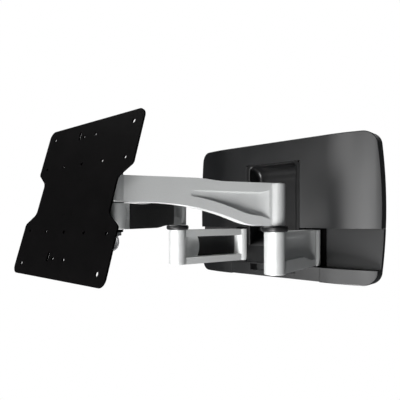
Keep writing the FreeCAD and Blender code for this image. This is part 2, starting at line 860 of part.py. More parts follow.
def covers():
    """The upper cover, the two channel covers and the cap between them."""
    wall = dim["cover_wall"]
    gap = dim["face_gap"]
    outer = cover_blank("cover_outer", 0)
    inner = cover_blank("cover_inner", wall)
    room = plate_room()
    wide = dim["cover_half_width"] + 10
    deep = -(dim["cover_depth"] + 10)
    tall = dim["cover_half_height"] + 10
    edge = dim["cover_lower_edge"]
    notch = dim["liner_half_width"] + gap
    notch_top = dim["liner_top"] + gap

    upper_outer = cut(
        "upper_cover_outer",
        zone("upper_cover_block", outer, -wide, wide, deep, 0, edge, tall),
        box("liner_notch", -notch, notch, deep, 1, edge - 1, notch_top),
    )
    upper_inner = cut(
        "upper_cover_inner",
        zone("upper_cover_core", inner, -wide, wide, deep, 1, edge + wall, tall),
        box("liner_notch_wall", -notch - wall, notch + wall, deep, 1, edge - 1, notch_top + wall),
    )
    upper = cut("upper_cover", cut("upper_cover_shell", upper_outer, upper_inner), room)

    split = dim["lip_split"]
    seam = split + gap / 2
    floor = -dim["channel_depth"]
    channel_top = edge - gap
    lip = dim["lip_top"]
    side_outer = cut(
        "lower_cover_outer",
        zone("lower_cover_block", outer, seam, wide, deep, 0, -tall, channel_top),
        box("channel", split - 1, wide, deep, floor, lip, channel_top + 1),
    )
    side_inner = cut(
        "lower_cover_inner",
        zone("lower_cover_core", inner, seam + wall, wide, deep, 1, -tall, channel_top - wall),
        box("channel_wall", split - 1, wide, deep, floor + wall, lip - wall, channel_top + 1),
    )
    right = cut("lower_cover_right", cut("lower_cover_shell", side_outer, side_inner), room)
    left = mirror_x("lower_cover_left", right)

    cap_half = split - gap / 2
    cap_low = dim["centre_cap_bottom"]
    mouth = dim["recess_half_width"]
    mouth_top = dim["cable_mouth_top"]
    mouth_back = -(dim["cover_depth"] - dim["cable_mouth_depth"])
    rail_back = -(dim["cover_depth"] - dim["mouth_rail_depth"])
    rail_top = cap_low + dim["mouth_rail_height"]
    cable_way = fuse("cable_way", [
        box("cable_mouth", -mouth, mouth, deep, mouth_back, rail_top, mouth_top),
        box("cable_drop", -mouth, mouth, rail_back, mouth_back, -tall, mouth_top),
    ])
    centre_outer = cut(
        "centre_cap_outer",
        zone("centre_cap_block", outer, -cap_half, cap_half, deep, 0, cap_low, lip),
        cable_way,
    )
    core_half = cap_half - wall
    walled = mouth + wall
    centre_inner = cut(
        "centre_cap_inner",
        zone("centre_cap_core", inner, -core_half, core_half, deep, 1, cap_low + wall, lip - wall),
        box("cable_way_wall", -walled, walled, deep, mouth_back + wall, -tall, mouth_top + wall),
    )
    centre = cut("lower_cover_centre", cut("centre_cap_shell", centre_outer, centre_inner), room)
    return [upper, right, left, centre]


def recess_liner():
    """The tub in the middle of the cover that takes the head when the arms are folded."""
    body = new_body("recess_liner")
    half = dim["liner_half_width"]
    top = dim["liner_top"]
    bottom = dim["lip_top"] + 1
    front = dim["cover_depth"] + dim["liner_proud"]
    back = dim["liner_back"]
    frame = new_sketch(body, "XZ", back)
    corner = dim["liner_corner"]
    add_outline(frame, [
        (-half, bottom), (half, bottom), (half, top - corner, corner, -1), (half - corner, top),
        (-half + corner, top, corner, -1), (-half, top - corner),
    ])
    pad(body, frame, front - back)

    floor = -(front - dim["recess_depth"])
    arc = dim["recess_arc"]
    spare = 5
    slope = 4.5
    recess_top = dim["recess_top"]
    mouth = new_sketch(body, "YZ")
    add_outline(mouth, [
        (-front - spare, dim["recess_bottom"] - slope), (-front, dim["recess_bottom"]),
        (floor, dim["recess_floor_end"]), (floor, recess_top - arc, arc, -1), (floor - arc, recess_top),
        (-front - spare, recess_top),
    ])
    recess_half = dim["recess_half_width"]
    scooped = pad_cut(body, mouth, recess_half * 2)
    cornered = fillet(body, scooped, dim["recess_corner"], is_recess_top_corner)
    fillet(body, cornered, dim["recess_rim_radius"], is_recess_rim)

    wall = dim["liner_wall"]
    front_wall = 12
    foot_top = -100
    hollow = new_sketch(body, "XZ", back)
    low_z, high_z = bottom + wall, top - front_wall
    add_outline(hollow, rectangle(recess_half + wall, half - wall, low_z, high_z))
    add_outline(hollow, rectangle(-half + wall, -recess_half - wall, low_z, high_z))
    add_outline(hollow, rectangle(-recess_half + wall, recess_half - wall, low_z, foot_top))
    pocket(body, hollow, front - front_wall - back, backwards=True)
    return body


def pad_cut(body, sketch, length):
    """Cuts a sketch of the given length, centred on its plane."""
    feature = body.newObject("PartDesign::Pocket", f"{body.Name}_scoop")
    feature.Profile = sketch
    bind(feature, "Length", length)
    feature.SideType = "Symmetric"
    return feature


def is_recess_top_corner(edge):
    """True for the edges where the recess's side walls meet its roof and its upper back wall."""
    bounds = edge.BoundBox
    on_side = abs(abs(bounds.XMax) - DIMENSIONS["recess_half_width"]) < 1e-3 and bounds.XLength < 1e-3
    inside = bounds.YMax > -DIMENSIONS["cover_depth"] + 1
    return on_side and inside and bounds.ZMin > DIMENSIONS["recess_floor_end"] - 1


def is_recess_rim(edge):
    """True for the upright and rounded edges of the recess's mouth, apart from the lower one."""
    bounds = edge.BoundBox
    front = -(DIMENSIONS["cover_depth"] + DIMENSIONS["liner_proud"])
    on_front = bounds.YLength < 1e-3 and abs(bounds.YMax - front) < 1e-3
    half = DIMENSIONS["recess_half_width"]
    within = abs(bounds.XMax) < half + 1e-3 and abs(bounds.XMin) < half + 1e-3
    return on_front and within and bounds.ZMax > DIMENSIONS["recess_bottom"] + 1


def wall_plate():
    """Pressed steel plate with slotted corner holes, centre holes, windows and screw holes."""
    body = new_body("wall_plate")
    face = new_sketch(body, "XZ")
    half, tall = dim["plate_half_width"], dim["plate_half_height"]
    add_outline(face, rounded_rectangle(-half, half, -tall, tall, dim["plate_corner"]))
    radius = dim["wall_hole_radius"]
    half_run = dim["wall_slot_length"] / 2 - radius
    for x_side in (-1, 1):
        x = dim["wall_bolt_half_spacing"] * x_side
        for z_side in (-1, 1):
            add_outline(face, slot(x, dim["wall_bolt_half_rise"] * z_side, half_run, radius))
    for height in ("upper_centre_hole", "lower_centre_hole"):
        add_circle(face, 0, dim[height], radius)
    for x_side in (-1, 1):
        for height in bracket_screw_heights():
            add_circle(face, dim["pivot_half_spacing"] * x_side, height, dim["screw_radius"])
    corner = dim["window_corner"]
    start, end, top = dim["side_window_start"], dim["side_window_end"], dim["side_window_top"]
    bottom = as_size(0)
    add_outline(face, rounded_rectangle(start, end, bottom, top, corner))
    add_outline(face, rounded_rectangle(-end, -start, bottom, top, corner))
    window, low, high = dim["centre_window_half"], dim["centre_window_bottom"], dim["centre_window_top"]
    add_outline(face, rounded_rectangle(-window, window, low, high, corner))
    pad(body, face, dim["plate_thickness"])
    return body


def bracket_screw_heights():
    return [link_middle - dim["bracket_screw_half_rise"], link_middle + dim["bracket_screw_half_rise"]]


def hinge_bracket(side_name, side):
    """A steel C bracket: a back web with one ear above and one below the link's barrel."""
    x = dim["pivot_half_spacing"] * side
    thick = dim["bracket_thickness"]
    ear = dim["ear_thickness"]
    gap = dim["face_gap"]
    back = -dim["plate_thickness"]
    shoulder = back - thick - dim["bracket_shoulder"]
    half = dim["bracket_half_width"]
    top = dim["link_top"] + gap + ear
    bottom = link_bottom - gap - ear
    pin_y = -dim["pivot_depth"]
    radius = dim["ear_radius"]
    body = new_body(f"hinge_bracket_{side_name}")
    web = new_sketch(body, "XZ", dim["plate_thickness"])
    add_outline(web, rectangle(x - half, x + half, bottom, top))
    pad(body, web, thick)
    for low in (bottom, top - ear):
        outline = new_sketch(body, "XY", low)
        add_outline(outline, [
            (x - half, back), (x - half, shoulder), (x - radius, pin_y, radius, -1),
            (x, pin_y - radius, radius, -1), (x + radius, pin_y), (x + half, shoulder), (x + half, back),
        ])
        pad(body, outline, ear)
    bore = new_sketch(body, "XY")
    add_circle(bore, x, pin_y, dim["hinge_pin_radius"])
    pocket_through(body, bore)
    holes = new_sketch(body, "XZ")
    for height in bracket_screw_heights():
        add_circle(holes, x, height, dim["screw_radius"])
    pocket_through(body, holes)
    return body


def bracket_screws():
    """Pan head screws from the front of each hinge bracket into the wall plate."""
    screws = []
    seat = -(dim["plate_thickness"] + dim["bracket_thickness"])
    crown = seat - dim["screw_head_height"]
    shank, head = dim["screw_radius"], dim["screw_head_radius"]
    crown_half, tip = 1.4, -0.5
    for side_name, side in SIDES.items():
        for index, height in enumerate(bracket_screw_heights()):
            body = new_body(f"bracket_screw_{side_name}_{index}")
            outline = new_sketch(body, "XY")
            add_outline(outline, [
                (0, tip), (shank, tip), (shank, seat), (head, seat), (head, seat - crown_half),
                (head - crown_half, crown), (0, crown),
            ])
            turned = body.newObject("PartDesign::Revolution", f"{body.Name}_turned")
            turned.Profile = outline
            turned.ReferenceAxis = (outline, ["V_Axis"])
            turned.Angle = 360
            place(body, dim["pivot_half_spacing"] * side, 0, height)
            screws.append(body)
    return group("bracket_screws", screws)


def hinge_pin(side_name, side):
    ear = dim["ear_thickness"] + dim["face_gap"]
    x = dim["pivot_half_spacing"] * side
    y = -dim["pivot_depth"]
    low, high = link_bottom - ear, dim["link_top"] + ear
    return cylinder(f"hinge_pin_{side_name}", dim["hinge_pin_radius"], x, y, low, high)


# ---- head ------------------------------------------------------------------------------------


def head_pin():
    """Swivel pin with a flat head above the upper ear and a nut below the lower ear."""
    reach = ear_reach() + dim["ear_thickness"] + dim["face_gap"]
    middle = dim["arm_middle"]
    y = -dim["head_depth"]
    tip = 1
    top, bottom = middle + reach, middle - reach
    nut_low = bottom - dim["head_nut_height"]
    shaft = cylinder("head_pin_shaft", dim["head_pin_radius"], 0, y, nut_low - tip, top)
    cap = cylinder("head_pin_cap", dim["head_cap_radius"], 0, y, top, top + dim["head_cap_height"])
    nut = hexagon("head_pin_nut", dim["head_nut_radius"], 0, y, nut_low, bottom)
    return fuse("head_pin", [shaft, cap, nut])


def ear_reach():
    """Height of the pan bracket's ear faces from the arm's middle plane."""
    return dim["knuckle_reach"] + dim["washer_thickness"] + dim["face_gap"]


def head_washers():
    """Thrust washers over, between and under the two knuckles."""
    middle = dim["arm_middle"]
    thick = dim["washer_thickness"]
    clear = dim["face_gap"] / 2
    outer, inner = dim["head_washer_radius"], dim["head_pin_radius"]
    y = -dim["head_depth"]
    levels = [dim["knuckle_reach"] + clear, -thick / 2, -dim["knuckle_reach"] - clear - thick]
    rings = [
        ring(f"head_washer_{index}", outer, inner, 0, y, middle + low, middle + low + thick)
        for index, low in enumerate(levels)
    ]
    return group("head_washers", rings)


def head_bushes():
    bore = dim["head_pin_radius"] + dim["running_gap"]
    low = dim["arm_middle"] + dim["knuckle_gap"] / 2
    high = dim["arm_middle"] + dim["knuckle_reach"]
    y = -dim["head_depth"]
    length = dim["bush_length"]
    return group("head_bushes", [
        ring("head_bush_lower", dim["elbow_bush_radius"], bore, 0, y, low, low + length),
        ring("head_bush_upper", dim["elbow_bush_radius"], bore, 0, y, high - length, high),
    ])


def pan_bracket():
    """Folded steel bracket: two ears on the head pin, a front web and two lugs for the tilt bolt."""
    body = new_body("pan_bracket")
    ear = dim["ear_thickness"]
    sheet = dim["pan_sheet"]
    reach = ear_reach()
    web_y = -dim["pan_web_forward"]
    half = dim["pan_web_half_width"]
    radius = dim["pan_ear_radius"]
    lug = dim["lug_radius"]
    drop = -dim["tilt_drop"]
    ear_root = half - 5
    for low in (-reach - ear, reach):
        outline = new_sketch(body, "XY", low)
        add_outline(outline, [
            (radius, 0, radius, -1), (0, radius, radius, -1), (-radius, 0), (-ear_root, web_y),
            (ear_root, web_y),
        ])
        pad(body, outline, ear)
    web = new_sketch(body, "XZ", dim["pan_web_forward"])
    add_outline(web, rounded_rectangle(-half, half, drop - lug, reach + ear, dim["pan_corner"]))
    pad(body, web, sheet)
    tilt_local = -dim["tilt_forward"]
    for start in (-half, half - sheet):
        flank = new_sketch(body, "YZ", start)
        add_outline(flank, flank_outline(web_y, tilt_local, drop, lug))
        pad(body, flank, sheet)
    bores = new_sketch(body, "XY")
    add_circle(bores, 0, 0, dim["head_pin_radius"] + dim["running_gap"])
    pocket_through(body, bores)
    cross = new_sketch(body, "YZ")
    add_circle(cross, tilt_local, drop, dim["tilt_bolt_radius"])
    pocket_through(body, cross)
    place(body, 0, -dim["head_depth"], dim["arm_middle"])
    return body


def flank_outline(web_y, tilt_y_local, drop, lug):
    """Side lug: from the web out to a round end about the tilt bolt."""
    root_y = web_y - 2
    shoulder_y = web_y - 6
    shoulder_z = drop + lug + 26
    return [
        (root_y, drop - lug), (root_y, shoulder_z), (shoulder_y, shoulder_z),
        (tilt_y_local, drop + lug, lug, -1), (tilt_y_local - lug, drop, lug, -1), (tilt_y_local, drop - lug),
    ]


def cross_cylinder(label, radius, low_x, high_x):
    """A cylinder along X on the tilt axis."""
    solid = doc.addObject("Part::Cylinder", label)
    solid.Label = label
    bind(solid, "Radius", radius)
    bind(solid, "Height", as_size(high_x) - low_x)
    solid.Placement = Placement(Vector(0, 0, 0), Rotation(Vector(0, 1, 0), 90))
    place(solid, low_x, tilt_y, tilt_z)
    return solid


def cross_ring(label, outer, inner, low_x, high_x):
    wall = cross_cylinder(f"{label}_wall", outer, low_x, high_x)
    hole = cross_cylinder(f"{label}_hole", inner, low_x, high_x)
    return cut(label, wall, hole)


def tilt_hardware():
    """Tilt bolt, friction washers, nut and the round tension knob."""
    half = dim["pan_web_half_width"]
    sheet = dim["pan_sheet"]
    radius = dim["tilt_bolt_radius"]
    span = dim["tilt_ear_half_span"]
    gap = dim["face_gap"] / 2
    nut_end = -half - dim["tilt_nut_height"]
    knob_end = dim["knob_offset"] + dim["knob_length"]
    bolt_tip, bolt_inset = 2, 3
    bolt = cross_cylinder("tilt_bolt", radius, nut_end - bolt_tip, knob_end - bolt_inset)
    outer = dim["tilt_washer_radius"]
    knob_washer_end = half + dim["knob_washer_thickness"]
    washers = [
        cross_ring("tilt_washer_right", outer, radius, span + gap, half - sheet),
        cross_ring("tilt_washer_left", outer, radius, -half + sheet, -span - gap),
        cross_ring("tilt_washer_knob", dim["knob_washer_radius"], radius, half, knob_washer_end),
    ]
    blank = hexagon("tilt_nut_blank", dim["tilt_nut_radius"], 0, 0, 0, dim["tilt_nut_height"])
    blank.Placement = Placement(Vector(0, 0, 0), Rotation(Vector(0, 1, 0), 90))
    place(blank, nut_end, tilt_y, tilt_z)
    nut = cut("tilt_nut", blank, cross_cylinder("tilt_nut_hole", radius, nut_end, -half))
    return [bolt, group("tilt_washers", washers), nut, tilt_knob(knob_washer_end + dim["face_gap"])]


def tilt_knob(start):
    """A turned knob with a long neck, a grooved rim and a shallow dish in its face."""
    body = new_body("tilt_knob")
    bore = dim["tilt_bolt_radius"] + dim["running_gap"]
    rim = dim["knob_radius"]
    neck = dim["knob_neck_radius"]
    back = dim["knob_offset"] - start
    front = back + dim["knob_length"]
    chamfer, land, dish, skin = 1.5, 2, 1, 1.7
    floor = front - dish
    land_end = rim - chamfer - land
    outline = new_sketch(body, "XY")
    add_outline(outline, [
        (0, bore), (0, neck), (back, neck), (back, rim - dish), (back + dish, rim), (front - chamfer, rim),
        (front, rim - chamfer), (front, land_end), (floor, land_end - dish), (floor, 0), (floor - skin, 0),
        (floor - skin, bore),
    ])
    turned = body.newObject("PartDesign::Revolution", "tilt_knob_turned")
    turned.Profile = outline
    turned.ReferenceAxis = (outline, ["H_Axis"])
    turned.Angle = 360
    flutes = new_sketch(body, "YZ")
    count = 24
    flute_radius = 0.9
    for index in range(count):
        angle = 2 * math.pi * index / count
        reach = rim + flute_radius / 2
        add_circle(flutes, reach * math.cos(angle), reach * math.sin(angle), flute_radius)
    pocket_through(body, flutes)
    place(body, start, tilt_y, tilt_z)
    return body


def tilt_bracket():
    """Channel behind the screen plate: a web and two ears on the tilt bolt."""
    body = new_body("tilt_bracket")
    span = dim["tilt_ear_half_span"]
    back = dim["screen_plate_forward"] - dim["screen_plate_thickness"]
    thick = dim["tilt_sheet"]
    web = new_sketch(body, "XZ", back - thick)
    low, high = dim["tilt_web_bottom"], dim["tilt_web_top"]
    add_outline(web, rounded_rectangle(-span, span, low, high, dim["tilt_web_corner"]))
    pad(body, web, thick)
    lug = dim["tilt_lug_radius"]
    overlap = 1
    ear_front = -(back - overlap)
    ear_back = -(back - thick - 2)
    heel = -2
    for start in (-span, span - thick):
        ear = new_sketch(body, "YZ", start)
        add_outline(ear, [
            (ear_front, dim["tilt_ear_bottom"]), (ear_front, dim["tilt_ear_top"]),
            (ear_back, dim["tilt_ear_top"]), (heel, lug, lug, 1), (lug + heel, 0, lug, 1), (heel, -lug),
        ])
        pad(body, ear, thick)
    bore = new_sketch(body, "YZ")
    add_circle(bore, 0, 0, dim["tilt_bolt_radius"] + dim["running_gap"])
    pocket_through(body, bore)
    holes = new_sketch(body, "XZ")
    for x, z in rivet_places():
        add_circle(holes, x, z, dim["rivet_radius"])
    pocket_through(body, holes)
    body.Placement = TILTED
    return body


def rivet_places():
    spread = dim["rivet_half_spacing"]
    return [(spread * side, dim[height]) for side in (-1, 1) for height in ("lower_rivet", "upper_rivet")]


def plate_rivets():
    """Flush rivets that join the screen plate to the tilt bracket."""
    front = dim["screen_plate_forward"]
    back = front - dim["screen_plate_thickness"] - dim["tilt_sheet"]
    head = dim["rivet_head_height"]
    rivets = []
    for index, (x, z) in enumerate(rivet_places()):
        body = new_body(f"plate_rivet_{index}")
        button = new_sketch(body, "XZ", back - head)
        add_circle(button, x, z, dim["rivet_head_radius"])
        pad(body, button, head)
        core = new_sketch(body, "XZ", back)
        add_circle(core, x, z, dim["rivet_radius"])
        pad(body, core, front - back)
        body.Placement = TILTED
        rivets.append(body)
    return group("plate_rivets", rivets)


def screen_outline():
    """Front view of the screen plate: a waisted rectangle with rounded corners."""
    half, tall = dim["screen_half_width"], dim["screen_half_height"]
    waist, low, high = dim["screen_waist_half"], dim["screen_waist_rise"], dim["screen_step_rise"]
    corner = dim["screen_corner"]
    rise = dim["screen_plate_rise"]
    inner_round, outer_round = 12, 7
    lead, blend, run = 5, 3, 4
    quarter = [
        (waist, low - lead, inner_round, 1), (waist + run, low + blend),
        (half - run, high - lead, outer_round, -1), (half, high + blend),
        (half, tall - corner, corner, -1), (half - corner, tall),
    ]
    right = quarter + mirrored(quarter, 1, -1)
    left = mirrored(right, -1, 1)
    return [(x, z + rise) + tuple(rest) for x, z, *rest in order_ring(right, left)]


def mirrored(points, x_sign, z_sign):
    """The same run of points mirrored and walked backwards; an arc moves to its other end."""
    plain = [(point[0] * x_sign, point[1] * z_sign) for point in points]
    result = []
    for index in range(len(points) - 1, -1, -1):
        arc = points[index - 1][2:] if index > 0 else ()
        result.append(plain[index] + tuple(arc))
    return result


def order_ring(right, left):
    """Joins the right-hand and left-hand runs into one ring."""
    half = len(right) // 2
    upper_right, lower_right = right[:half], right[half:]
    upper_left, lower_left = left[half:], left[:half]
    return lower_right + upper_right + upper_left + lower_left


# accessory holes and slots along the upper and lower edge, from the plate's middle
ACCESSORY_HOLES = ((-13.5, 94), (16, 94), (-12, -88), (17, -88))
ACCESSORY_SLOTS = ((-25.5, 97), (-25, -86))


def vesa_plate():
    """The screen plate with its corner, inner and accessory holes."""
    body = new_body("vesa_plate")
    rise = dim["screen_plate_rise"]
    thick = dim["screen_plate_thickness"]
    outer, inner = dim["screen_outer_hole"], dim["screen_inner_hole"]
    small = dim["screen_small_hole_radius"]
    face = new_sketch(body, "XZ", dim["screen_plate_forward"] - thick)
    add_outline(face, screen_outline())
    for z in (-outer, outer):
        for x in (-outer, outer):
            add_circle(face, x, rise + z, dim["screen_hole_radius"])
    for z in (-inner, inner):
        for x in (-outer, -inner, as_size(0), inner, outer):
            add_circle(face, x, rise + z, small)
    for x, z in ACCESSORY_HOLES:
        add_circle(face, x, rise + z, small)
    half_run, radius = as_size(5), as_size(2.4)
    for x, z in ACCESSORY_SLOTS:
        add_outline(face, slot(as_size(x), rise + z, half_run, radius, upright=True))
    for x, z in rivet_places():
        add_circle(face, x, z, dim["rivet_radius"])
    pad(body, face, thick)
    body.Placement = TILTED
    return body


# ---- assembly --------------------------------------------------------------------------------

nodes = covers() + [recess_liner(), wall_plate(), bracket_screws()]
for name, sign in SIDES.items():
    nodes += [hinge_bracket(name, sign), hinge_pin(name, sign), lower_link(name, sign)]
    nodes += link_parts(name, sign)
    nodes += [link_cover(name, sign), upper_arm(name, sign), arm_cover(name, sign)]
    nodes += arm_parts(name, sign)
nodes += [head_pin(), head_washers(), head_bushes(), pan_bracket()]
nodes += tilt_hardware()
nodes += [tilt_bracket(), plate_rivets(), vesa_plate()]
doc.recompute()

failed = [item.Name for item in doc.Objects if {"Invalid", "Error"} & set(item.State)]
if failed:
    raise RuntimeError(f"features failed: {failed}")
for node in nodes:
    if node.Shape.isNull() or not node.Shape.isValid():
        raise RuntimeError(f"{node.Label} has no valid shape")

os.makedirs("parts", exist_ok=True)
for node in nodes:
    node.Shape.exportStep(f"parts/{node.Label}.step")
    print(f"{node.Label:24s} solids {len(node.Shape.Solids)}  volume {node.Shape.Volume / 1000:8.2f} cm3")
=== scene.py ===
import json
import math

import bmesh
import bpy
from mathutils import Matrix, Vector

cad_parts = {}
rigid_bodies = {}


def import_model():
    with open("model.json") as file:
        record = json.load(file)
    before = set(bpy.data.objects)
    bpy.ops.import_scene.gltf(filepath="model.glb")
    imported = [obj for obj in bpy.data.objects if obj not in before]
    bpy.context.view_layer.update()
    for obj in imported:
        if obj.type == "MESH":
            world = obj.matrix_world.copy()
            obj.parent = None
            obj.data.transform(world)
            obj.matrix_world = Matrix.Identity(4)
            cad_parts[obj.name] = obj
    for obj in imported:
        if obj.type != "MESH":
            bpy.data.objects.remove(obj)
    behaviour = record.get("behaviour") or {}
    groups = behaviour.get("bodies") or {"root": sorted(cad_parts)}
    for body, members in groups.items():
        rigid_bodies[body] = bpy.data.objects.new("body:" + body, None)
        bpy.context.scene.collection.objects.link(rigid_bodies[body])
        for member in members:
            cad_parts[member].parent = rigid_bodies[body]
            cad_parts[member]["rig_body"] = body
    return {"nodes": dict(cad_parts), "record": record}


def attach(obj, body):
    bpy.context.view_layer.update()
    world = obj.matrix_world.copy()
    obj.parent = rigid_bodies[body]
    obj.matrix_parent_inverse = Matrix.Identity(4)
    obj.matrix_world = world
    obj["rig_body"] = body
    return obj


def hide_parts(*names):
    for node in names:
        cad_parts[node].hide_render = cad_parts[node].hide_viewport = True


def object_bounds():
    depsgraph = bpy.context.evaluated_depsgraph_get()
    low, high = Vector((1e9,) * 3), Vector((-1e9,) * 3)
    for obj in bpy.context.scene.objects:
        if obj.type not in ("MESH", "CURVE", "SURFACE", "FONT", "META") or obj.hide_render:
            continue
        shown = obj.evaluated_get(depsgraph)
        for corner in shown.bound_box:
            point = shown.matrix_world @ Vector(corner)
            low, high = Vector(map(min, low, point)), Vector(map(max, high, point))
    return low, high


# A full motion wall mount for a screen: looks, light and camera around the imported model.
# All lengths are in metres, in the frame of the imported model: +Y goes into the wall, +Z is up.

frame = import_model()
cad_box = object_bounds()
scene = bpy.context.scene
NODES = frame["nodes"]
SLOTS = {entry["node"]: entry["material_slot"] for entry in frame["record"]["subparts"]}
MM = 0.001


# ---- procedural materials --------------------------------------------------------------------

# The part of a noise's 0 to 1 range that is stretched to the full variation.
NOISE_LOW = 0.3
NOISE_HIGH = 0.7


class Surface:
    """A Principled material whose colour, roughness and bump come from noise in object space."""

    def __init__(self, name, color, metallic, roughness, constants=None):
        self.material = bpy.data.materials.new(name)
        self.material.use_nodes = True
        self.nodes = self.material.node_tree.nodes
        self.links = self.material.node_tree.links
        self.shader = self.nodes["Principled BSDF"]
        self.shader.inputs["Metallic"].default_value = metallic
        for socket, value in (constants or {}).items():
            self.shader.inputs[socket].default_value = value
        self.place = self.nodes.new("ShaderNodeTexCoord").outputs["Object"]
        self.color = color
        self.roughness = roughness

    def noise(self, size, detail=3.0, stretch=(1, 1, 1)):
        """Noise whose features are about size metres across."""
        mapping = self.nodes.new("ShaderNodeMapping")
        mapping.inputs["Scale"].default_value = stretch
        self.links.new(self.place, mapping.inputs["Vector"])
        texture = self.nodes.new("ShaderNodeTexNoise")
        texture.inputs["Scale"].default_value = 1 / size
        texture.inputs["Detail"].default_value = detail
        self.links.new(mapping.outputs["Vector"], texture.inputs["Vector"])
        return texture.outputs["Fac"]

    def along(self, axis):
        """The position along an axis of the object."""
        parts = self.nodes.new("ShaderNodeSeparateXYZ")
        self.links.new(self.place, parts.inputs["Vector"])
        return parts.outputs[axis]

    def map_range(self, source, start, end, low, high):
        """A value that goes from low to high while the source goes from start to end."""
        node = self.nodes.new("ShaderNodeMapRange")
        for socket, value in zip(("From Min", "From Max", "To Min", "To Max"), (start, end, low, high)):
            node.inputs[socket].default_value = value
        self.links.new(source, node.inputs["Value"])
        return node.outputs["Result"]

    def vary_color(self, source, amount):
        """Lightens and darkens the base colour by up to the given share."""
        ramp = self.nodes.new("ShaderNodeValToRGB")
        ends = ((NOISE_LOW, 1 - amount), (NOISE_HIGH, 1 + amount))
        for element, (position, factor) in zip(ramp.color_ramp.elements, ends):
            element.position = position
            element.color = [channel * factor for channel in self.color] + [1]
        self.links.new(source, ramp.inputs["Fac"])
        self.links.new(ramp.outputs["Color"], self.shader.inputs["Base Color"])

    def vary_roughness(self, source, amount, extra=None):
        """Roughness from a noise, with an optional further value on top."""
        low, high = self.roughness - amount, self.roughness + amount
        value = self.map_range(source, NOISE_LOW, NOISE_HIGH, low, high)
        if extra is not None:
            total = self.nodes.new("ShaderNodeMath")
            total.operation = "ADD"
            self.links.new(value, total.inputs[0])
            self.links.new(extra, total.inputs[1])
            value = total.outputs["Value"]
        self.links.new(value, self.shader.inputs["Roughness"])

    def bump(self, layers):
        """Adds bump layers, each (noise, depth in metres, strength)."""
        normal = None
        for source, depth, strength in layers:
            node = self.nodes.new("ShaderNodeBump")
            node.inputs["Distance"].default_value = depth
            node.inputs["Strength"].default_value = strength
            self.links.new(source, node.inputs["Height"])
            if normal is not None:
                self.links.new(normal, node.inputs["Normal"])
            normal = node.outputs["Normal"]
        self.links.new(normal, self.shader.inputs["Normal"])


def gloss_black():
    """Black moulding: polished on the front, rougher on the recessed faces near the wall."""
    surface = Surface("gloss_black", (0.006, 0.0062, 0.0066), 0.0, 0.3, {"IOR": 1.5})
    haze = surface.noise(60 * MM, 4)
    surface.vary_color(haze, 0.2)
    polished_to, recessed_from, added_roughness = -28 * MM, -20 * MM, 0.28
    recessed = surface.map_range(surface.along("Y"), polished_to, recessed_from, 0.0, added_roughness)
    surface.vary_roughness(haze, 0.02, recessed)
    surface.bump([
        (surface.noise(14 * MM, 1), 0.05 * MM, 0.15),
        (surface.noise(0.5 * MM, 2), 0.01 * MM, 0.1),
    ])
    return surface.material


def liner_black():
    """Black moulding of the tub in the middle of the cover, darker and less glossy than its front."""
    constants = {"IOR": 1.45, "Specular IOR Level": 0.3}
    surface = Surface("liner_black", (0.003, 0.003, 0.0032), 0.0, 0.36, constants)
    surface.vary_color(surface.noise(40 * MM, 4), 0.25)
    surface.vary_roughness(surface.noise(20 * MM, 3), 0.04)
    surface.bump([(surface.noise(0.7 * MM, 2), 0.02 * MM, 0.3)])
    return surface.material


def cast_silver():
    """Satin silver coat over cast aluminium: fine metallic grain and slight orange peel."""
    surface = Surface("cast_silver", (0.72, 0.73, 0.725), 0.35, 0.38, {"IOR": 1.5})
    grain = surface.noise(0.6 * MM, 3)
    surface.vary_color(grain, 0.07)
    surface.vary_roughness(surface.noise(25 * MM, 4), 0.05)
    surface.bump([(surface.noise(2.2 * MM, 2), 0.05 * MM, 0.25), (grain, 0.02 * MM, 0.3)])
    return surface.material


def powder_black():
    """Fine black powder coat: matt with a tight pebble."""
    constants = {"Specular IOR Level": 0.045}
    surface = Surface("powder_black", (0.0015, 0.0013, 0.0014), 0.0, 0.55, constants)
    surface.vary_color(surface.noise(30 * MM, 3), 0.3)
    pebble = surface.noise(0.9 * MM, 2)
    surface.vary_roughness(pebble, 0.08)
    surface.bump([(pebble, 0.06 * MM, 0.5)])
    return surface.material


def pressed_black():
    """Black lacquer over pressed steel, shinier than the screen plate's powder coat."""
    constants = {"Specular IOR Level": 0.4}
    surface = Surface("pressed_black", (0.022, 0.022, 0.024), 0.0, 0.42, constants)
    surface.vary_color(surface.noise(18 * MM, 4), 0.3)
    surface.vary_roughness(surface.noise(9 * MM, 3), 0.08)
    orange_peel = surface.noise(1.6 * MM, 2)
    surface.bump([(orange_peel, 0.04 * MM, 0.35)])
    return surface.material


def zinc_plate():
    """Zinc plated steel of the pins, screws, bolt and nuts, with fine streaks."""
    surface = Surface("zinc_plate", (0.5, 0.51, 0.52), 1.0, 0.32)
    surface.vary_color(surface.noise(6 * MM, 4), 0.12)
    surface.vary_roughness(surface.noise(1.2 * MM, 3, (1, 1, 8)), 0.08)
    surface.bump([(surface.noise(0.5 * MM, 2, (1, 1, 6)), 0.01 * MM, 0.3)])
    return surface.material


def black_acetal_and_painted_shade():
    """Smooth black plastic of the collars, caps and head washers, with faint streaks; it also colours the
    black covers on the arms' inner faces and in the links' cavities, which are painted shade standing in
    for the shadow there.
    """
    surface = Surface("black_acetal_and_painted_shade", (0.012, 0.012, 0.0125), 0.0, 0.34, {"IOR": 1.48})
    surface.vary_color(surface.noise(12 * MM, 3), 0.2)
    surface.vary_roughness(surface.noise(4 * MM, 3), 0.06)
    surface.bump([(surface.noise(0.35 * MM, 2, (1, 1, 4)), 0.02 * MM, 0.3)])
    return surface.material


def natural_acetal():
    """Off-white plastic of the bushes and tilt washers, which lets a little light in."""
    surface = Surface("natural_acetal", (0.7, 0.69, 0.64), 0.0, 0.4, {"Subsurface Weight": 0.1})
    surface.vary_color(surface.noise(8 * MM, 3), 0.05)
    surface.vary_roughness(surface.noise(3 * MM, 3), 0.06)
    surface.bump([(surface.noise(0.4 * MM, 2), 0.02 * MM, 0.3)])
    return surface.material


